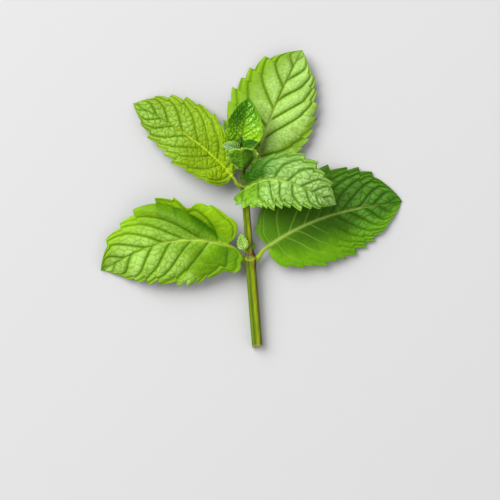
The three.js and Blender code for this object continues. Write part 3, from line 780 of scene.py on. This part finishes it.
frontRightLeaf = dict(
    grownLeaf, node="leaf_front_right", joint=upperJoint - 1.6, around=72, settles=False,
    stalk=1.7, stalkRadius=0.5,
    length=32.4, halves=(10.2, 7.9), taper=0.8, flare=0.3, slim=(0.7, 0), lobe=(1, 8.6),
    # painted shade over the upper half near the base, which turns away from the light
    shade=(1, 0.5, 0.12),
    heading=(44, 41, -28), bend=3, pitch=(50, 36, -32), roll=(4, -4),
    fold=(22, 14), curl=(-40, -36), wave=(0.3, 0.4), waves=2, wavePhase=(0.3, 0.8),
    teeth=8, toothDepth=1.4, thickness=0.3,
    sideVeins=7, sweep=(0.5, 0.35), wobble=1.2, veinReach=0.32,
    pillow=0.45, quilt=0.42, cell=1.9, rib=0.4, ribRise=0.4, calmBase=0.9, line=0.26, seed=47)
growLeaf(frontRightLeaf, leafBlade("mint leaf, downy grey-green", dict(
    grownTones, base="#6a9c10", middle="#7ca63c", tip="#86ac54", edge="#88b832", edgeShare=0.6,
    freshAndShade="#7cb41a", freshAndShadeSide=-1.0, freshAndShadeFrom=0.3, freshAndShadeShare=0.4,
    shade="#2c6402", shadeShare=0.92,
    bloomAndHighlight=0.85, bloomAndHighlightFrom=0.0, bloomAndHighlightColour="#acd67c", rib="#a4c450", ribUntil=0.5, sheen=0.04)))

youngTones = dict(
    grownTones, base="#94bc04", middle="#5c9206", tip="#41760a", edge="#7aa80c",
    baseEnds=0.55, bloomAndHighlight=0.85, bloomAndHighlightFrom=-0.2, bloomAndHighlightColour="#a6d44c", creaseShade="#2c6a04",
    creaseShadeShare=0.6, netShare=0.4, freshAndShadeSide=-1.0, freshAndShade="#a6cc14", freshAndShadeFrom=0.35, freshAndShadeShare=0.5,
    rib="#8fb82a", ribShare=0.3, under="#4f8a0c", underShare=0.9, stalk="#6f9a10", rough=0.44,
    toneSpread=0.35)
youngLeaf = dict(
    grownLeaf, settles=False, slot="young_leaf", slim=(0, 0), roll=(0, 0),
    waves=2, thickness=0.24, sideVeins=6, sweep=(0.7, 0.7), wobble=0.5, veinReach=0.22,
    pillow=0.3, quilt=0.5, cell=1.1, rib=0.2, ribRise=0.3, calmBase=1.0, fine=0.04, line=0.12)

shootBackLeaf = dict(
    youngLeaf, node="shoot_leaf_back", joint=stemLength - 3, around=265, stalk=2, stalkRadius=0.34,
    length=16.6, halves=(6.6, 7.2), taper=0.84, lobe=(0.4, 0.4), heading=(88, 85, 80),
    pitch=(-12, 8, 18), fold=(26, 26), curl=(8, 8), wave=(0.2, 0.2), wavePhase=(0, 0.5),
    teeth=8, toothDepth=0.3, seed=53, pillow=0.24, quilt=0.6, cell=1.4, line=0.14,
    shade=(1, 0.25, 0.6))
# painted light: a strong pale coat on the right half is painted highlight where it is lit, and the dark
# greens on the left half are painted shade
growLeaf(shootBackLeaf, leafBlade("young mint leaf", dict(
    youngTones, base="#94c80a", baseEnds=0.8, middle="#5c9a0c", tip="#4a860c",
    edge="#84b81c", edgeShare=0.3, freshAndShade="#6aa00c", freshAndShadeSide=1.0, freshAndShadeFrom=-0.3,
    shade="#3f7a06", bloomAndHighlightOver=0.45, bloomAndHighlight=1.0, bloomAndHighlightOnFreshAndShade=0.05, bloomAndHighlightColour="#b8e46c",
    creaseShadeShare=0.55, netShare=0.35, toneSpread=0.2, ribShare=0.1)))

shootFrontLeaf = dict(
    youngLeaf, node="shoot_leaf_front", joint=stemLength - 9, around=90, stalk=1, stalkRadius=0.5,
    length=11, halves=(5.2, 5.2), taper=0.66, flare=0.7, lobe=(0, 0), heading=(94, 94, 96),
    pitch=(58, 52, 56), roll=(180, 180), fold=(30, 30), curl=(-30, -30), wave=(0.35, 0.35),
    wavePhase=(0.2, 0.6), waves=3, teeth=7, toothDepth=0.4, seed=59, rimTip=0.76)
# painted light: one half is a very dark green, painted shade, and the curled rim a bright yellow-green,
# painted highlight, which also runs round the tip
growLeaf(shootFrontLeaf, leafBlade("young mint leaf, seen from below", dict(
    youngTones, base="#5a8c10", middle="#66a414", tip="#74b01c", tipStarts=0.7,
    edge="#c0ec54", edgeShare=1.0, freshAndShade="#184602", freshAndShadeSide=1.0, freshAndShadeFrom=-0.1,
    freshAndShadeShare=0.9, underShare=0.1, netShare=0.2, bloomAndHighlightOnFreshAndShade=0.2, bloomAndHighlight=0.4,
    stalk="#4a650c")))

tinyLeaf = dict(
    youngLeaf, stalk=0.6, stalkRadius=0.26, taper=0.8, lobe=(0.1, 0.1), fold=(20, 20),
    curl=(-14, -14), wave=(0.05, 0.05), wavePhase=(0, 0.5), teeth=5, toothDepth=0.22,
    veinReach=0.16, pillow=0.2, quilt=0.12, cell=0.5, rib=0.14, thickness=0.2, line=0.1)

shootLeftLeaf = dict(
    tinyLeaf, node="shoot_leaf_left", joint=stemLength - 1.6, around=140, length=5.6,
    halves=(1.9, 1.9), heading=(140, 160, 174), pitch=(56, 40, -4), seed=61)
# its pale grey-green is partly its own down and partly painted reflection of the light
growLeaf(shootLeftLeaf, leafBlade("young mint leaf, downy, painted reflection", dict(
    youngTones, base="#7fa850", middle="#86b068", tip="#92b87a", edge="#8fbc5a", bloomAndHighlight=0.5,
    bloomAndHighlightColour="#acca92", creaseShadeShare=0.35, netShare=0.1, sheen=0.1)))

shootRightLeaf = dict(
    tinyLeaf, node="shoot_leaf_right", joint=stemLength - 1.6, around=40, length=5.4,
    halves=(1.8, 1.8), heading=(60, 34, 14), pitch=(56, 42, 6), seed=67)
# its dark greens are painted shade: this small leaf sits in the shadow of the shoot
growLeaf(shootRightLeaf, leafBlade("young mint leaf, painted shade", dict(
    youngTones, base="#3f7a12", middle="#2f6610", tip="#2a5c10", edge="#3f7a14", bloomAndHighlight=0.1)))

axilLeaflet = dict(
    tinyLeaf, node="axil_leaflet_lower_left", joint=lowerJoint + 2.2, around=138, stalk=0.8,
    stalkRadius=0.28, length=5.4, halves=(1.8, 1.8), lobe=(0.2, 0.2), heading=(112, 108, 98),
    pitch=(30, 22, 4), fold=(24, 24), curl=(-20, -20), teeth=4, toothDepth=0.25, seed=71)
growLeaf(axilLeaflet, leafBlade("young mint leaf, pale", dict(
    youngTones, base="#b4d860", middle="#a2cc54", tip="#96c448", edge="#b0d860", bloomAndHighlight=0.5,
    bloomAndHighlightColour="#cfe6a8")))
print("leaves grown")


stemTones = {
    "base": "#7f8f05", "fibres": "#5e6c02", "streak": "#5c7c02", "groove": "#2f4602",
    "blush": "#46280c", "shoot": "#334a06", "collar": "#9aa344",
    "pith": "#c9c58a", "fibreEnds": "#8a6a3a",
}


# Living mint stem: four-sided and furrowed under a smooth, slightly glossy skin, olive green with a
# brown blush above the joints, a darker shoot that is painted shade under its young leaves, furrows
# darkened with painted shade, and a pale wet cut.
def stemSkin():
    material, tree, shader, mark, place = startMaterial(
        "mint stem skin", ("groove", "blush", "collar", "cut", "shoot", "streak"))
    # fibres run along the stem, about 0.2 mm apart, drawn at 0.45 mm so that they show
    stretched = addNode(tree, "ShaderNodeMapping", {"Vector": place, "Scale": (1.0, 0.07, 1.0)})
    fibres, patches = (addNode(tree, "ShaderNodeTexNoise", {
        "Vector": where, "Scale": 1000 / size, "Detail": 3.0})
        for where, size in ((stretched, 0.45), (place, 6.0)))
    fibreShare, patchShare, rough = (addNode(tree, "ShaderNodeMapRange", {
        "Value": value, "From Min": low, "From Max": high, "To Min": first, "To Max": last})
        for value, low, high, first, last in (
            (fibres, 0.35, 0.65, 0, 1), (patches, 0.35, 0.65, 0.5, 1), (patches, 0, 1, 0.32, 0.5)))
    blush = addNode(tree, "ShaderNodeMath", {0: mark["blush"], 1: patchShare}, operation="MULTIPLY")
    share = dict(mark, fibres=fibreShare, blush=blush)
    # the wet cut is pale pith with browner ends of fibres
    cut = layered(tree, hexColour(stemTones["pith"]), [("ends", hexColour(stemTones["fibreEnds"]))],
                  {"ends": fibres})
    coats = [(coat, hexColour(stemTones[coat]))
             for coat in ("fibres", "streak", "groove", "blush", "shoot", "collar")]
    colour = layered(tree, hexColour(stemTones["base"]), coats + [("cut", cut)], share)
    bump = addNode(tree, "ShaderNodeBump", {
        "Height": fibres, "Strength": 0.4, "Distance": 0.0001}, "Normal")
    fillInputs(tree, shader, {
        "Base Color": colour, "Roughness": rough, "Normal": bump, "IOR": 1.42, "Specular IOR Level": 0.2,
        "Subsurface Weight": 0.08, "Subsurface Radius": (0.0006, 0.0009, 0.0002), "Subsurface Scale": 1.0})
    return material


def growStem():
    sides = int(64 * fineness)
    s = np.arange(0, stemLength, 0.35 / fineness)
    s = np.append(s, stemLength)[:, None]
    turn = np.linspace(0, 2 * np.pi, sides, endpoint=False)[None, :]
    ahead, right, up = stemFrame(s)
    # a furrow down each of the four sides, which are turned a little against the stem's own frame
    furrow = np.exp(-(np.sin(2 * (turn - stem["furrowTurn"])) / 0.42) ** 2)
    # the ridge between two stalks dips down the middle of the stem
    ridgeDip = stem["collarLow"] - stem["collarDip"] * np.cos(turn) ** 2
    ridge = sum(np.exp(-((s - joint + ridgeDip) / stem["collarWidth"]) ** 2)
                for joint in (lowerJoint, upperJoint))
    radius = stemRadius(s) * (1 - stem["corner"] * np.cos(4 * turn)) - stem["groove"] * furrow
    stout = smooth((s - upperJoint) / 3) * smooth((stemLength - 1 - s) / 3)
    collar = stem["collar"] * ridge * (0.6 + 0.4 * np.cos(2 * turn))
    radius = radius * (1 + stem["shootStout"] * stout) + collar
    radius = radius + stem["uneven"] * wander(s / 4, turn * 2.5 + 40, 7) * np.sin(turn / 2) ** 0.5
    slant = np.tan(np.radians(stem["cutSlant"])) * np.exp(-s / 0.8)
    outward = right * np.cos(turn)[..., None] + up * np.sin(turn)[..., None]
    skin = stemPoint(s) + radius[..., None] * outward
    torn = stem["cutTorn"] * wander(turn * 2.2, 5 + 0 * turn, 23) * np.exp(-s / 0.4)
    skin = skin + ahead * (slant * radius * np.sin(turn) + torn)[..., None]

    # the cut face dishes in towards the pith, and its rim is a little torn
    shares = np.linspace(0.02, 1, 12)[:-1][:, None]
    first = skin[0][None, :, :]
    middle = skin[0].mean(0)[None, None, :]
    ragged = stem["rimTorn"] * wander(turn * 6, 3 + 0 * turn, 19) * shares ** 3
    sink = stem["cutDepth"] * (1 - shares ** 2) + ragged
    face = middle + (first - middle) * shares[..., None] + ahead[0] * sink[..., None]
    tipShares = np.linspace(1, 0.02, 6)[1:][:, None]
    last = skin[-1][None, :, :]
    tipMiddle = skin[-1].mean(0)[None, None, :]
    tip = tipMiddle + (last - tipMiddle) * tipShares[..., None] \
        + ahead[-1] * (stem["endRadius"] * 0.6 * (1 - tipShares))[..., None]
    rings = np.concatenate([face, skin, tip])
    faces, places = gridFaces(len(rings), sides, 0, False, (0.01, 0.01), (0.98, 0.98), True)
    faces = [corners[::-1] for corners in faces]

    def everywhere(values, faceValue, tipValue):
        values = values + 0 * turn + 0 * s
        return np.concatenate([faceValue + 0 * face[..., 0], values, tipValue + 0 * tip[..., 0]]).ravel()

    # a brown line down the corner on the right, and a dark one on the left; the cut is brown on the right
    rightLine = np.exp(-((turn - stem["brownLineAt"]) / 0.22) ** 2)
    leftLine = np.exp(-((turn - stem["darkLineAt"]) / 0.16) ** 2)
    rightCorner = smooth(1.6 * np.cos(turn)) * np.exp(-s / 0.9)
    aboveLower = smooth((s - lowerJoint - 0.2) / 0.5) * np.exp(-np.maximum(0, s - lowerJoint - 0.8) / 2.6)
    belowLower = np.exp(-((s - lowerJoint + 2) / 2) ** 2) * 0.25
    # the furrows' darker green is painted shade in them; the two lines add a dark line down the left corner
    # and a little darkening down the right one
    groove = 0.75 * furrow + 0.5 * leftLine + 0.35 * rightLine
    blush = 0.8 * rightLine * (s < upperJoint) + 0.9 * aboveLower + belowLower
    blush = blush + 0.4 * np.exp(-s / 0.8) + rightCorner
    marks = {
        "groove": everywhere(np.clip(groove, 0, 1), 0, 0),
        "blush": everywhere(np.clip(blush, 0, 1), 0.4, 0),
        "collar": everywhere(0.7 * np.clip(ridge, 0, 1), 0, 0),
        "cut": everywhere(0.7 * np.exp(-s / 0.25), 1, 0),
        # painted shade: the shoot's stem is darkened from just below the upper joint, under its young
        # leaves
        "shoot": everywhere(0.95 * smooth((s - upperJoint + 2.5) / 2.5), 0, 1),
        "streak": everywhere(np.clip(
            0.45 * smooth(-1.4 * np.cos(turn)) + 0.5 * wander(turn * 3.2, s / 40, 13), 0, 1), 0, 0),
    }
    piece = makePiece("stem_skin", rings.reshape(-1, 3), faces, [places], marks, stemSkin())
    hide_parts("stem")


growStem()
print("stem grown")


budShape = {
    "shrink": 0.16, "stepBack": 0.06,  # how much narrower each inner pair is, and shorter each scale
    "wrap": 1.25, "firstTurn": 0.3,  # how far a scale reaches round, and how the first one is turned
    "flutes": 7, "fluteDepth": 0.06,
    "hollow": 0.8,  # the inner side of a scale against its outer side
}


# A bud is pairs of tiny unopened leaves, each pair crossing the one inside it.
def growBud(bud, material):
    rows, columns = int(22 * fineness) + 6, int(14 * fineness) + 5
    ahead = direction(bud["heading"], bud["pitch"])
    left = direction(bud["heading"] + 90.0, 0.0)
    up = np.cross(ahead, left)
    if bud["atEnd"]:
        start = stemPoint(bud["joint"]) - stemFrame(bud["joint"])[0] * 0.1
    else:
        start = stemSurface(bud["joint"], bud["around"], -0.25)
    u = np.linspace(0, 1, rows)[:, None]
    v = np.linspace(-1, 1, columns)[None, :]
    points, faces, places, count = [], [], [], 0
    for number in range(bud["scales"]):
        size = 1 - budShape["shrink"] * (number // 2)
        turn = np.pi * (number % 2) + np.pi / 2 * (number // 2) + budShape["firstTurn"]
        out = left * np.cos(turn) + up * np.sin(turn)
        aside = np.cross(ahead, out)
        profile = np.sin(np.pi * np.clip(u, 0, 1) ** 0.75) ** 0.7 * (1 - 0.25 * u) + 0.12 * (1 - u)
        angle = v * budShape["wrap"] * (0.35 + 0.65 * profile)
        flutes = 1 + budShape["fluteDepth"] * np.cos(budShape["flutes"] * v + number)
        radius = bud["radius"] * size * profile * flutes
        reach = bud["length"] * (1.08 - budShape["stepBack"] * number)
        for thick, flip in ((1.0, True), (budShape["hollow"], False)):
            shell = (start + ahead * (u * reach + 0 * v)[..., None]
                     + out * (radius * thick * np.cos(angle))[..., None]
                     + aside * (radius * thick * np.sin(angle))[..., None])
            rect = (number / bud["scales"] + 0.005, 0.01 if flip else 0.51)
            shellFaces, shellPlaces = gridFaces(
                rows, columns, count, flip, rect, (0.9 / bud["scales"], 0.46))
            points.append(shell.reshape(-1, 3))
            faces += shellFaces
            places.append(shellPlaces)
            count += rows * columns
        rim = rimFaces(rows, columns, count - 2 * rows * columns)
        faces += rim
        strip = np.array([[0.0, 0.985], [0.0, 0.99], [0.003, 0.99], [0.003, 0.985]])
        steps = np.linspace(0, 0.99, len(rim))[:, None, None] * np.array([1.0, 0.0]) / bud["scales"]
        places.append(strip[None] + steps + np.array([number / bud["scales"], 0.0]))
    points = np.concatenate(points)
    shares = np.clip(((points - start) @ ahead) / bud["length"], 0, 1)
    marks = {key: np.zeros(len(points)) for key in leafMarks}
    marks["along"] = shares
    marks["edge"] = np.tile(np.abs(np.broadcast_to(v, (rows, columns))).ravel(), 2 * bud["scales"])
    marks["proud"] = np.full(len(points), 0.5)
    marks["tone"] = hashed(np.arange(len(points)) // (rows * columns * 2), 2, 5)
    piece = makePiece(bud["node"] + "_scales", points, faces, places, marks, material)
    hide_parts(bud["node"])


# Bud scales: the leaf's skin before it has spread, with a close down that softens its edges. Their darker
# green is painted shade of the hollow at the shoot's tip, and the axil buds share it.
budScales = leafBlade("mint bud scales", dict(
    youngTones, base="#4f8614", middle="#2f6612", tip="#274f10", edge="#5f9a24", bloomAndHighlight=0.2, sheen=0.3))
tipBud = {"node": "tip_bud", "joint": stemLength, "atEnd": True, "heading": 90.0, "pitch": 36.0,
          "length": 3.3, "radius": 0.85, "scales": 6}
lowerBud = {"node": "axil_bud_lower_right", "joint": lowerJoint + 2.4, "around": 30, "atEnd": False,
            "heading": 80.0, "pitch": 18.0, "length": 2.7, "radius": 0.5, "scales": 4}
upperBud = {"node": "axil_bud_upper_left", "joint": upperJoint + 1.6, "around": 176, "atEnd": False,
            "heading": 122.0, "pitch": 14.0, "length": 2.0, "radius": 0.42, "scales": 4}
for bud in (tipBud, lowerBud, upperBud):
    growBud(bud, budScales)
print("buds grown")
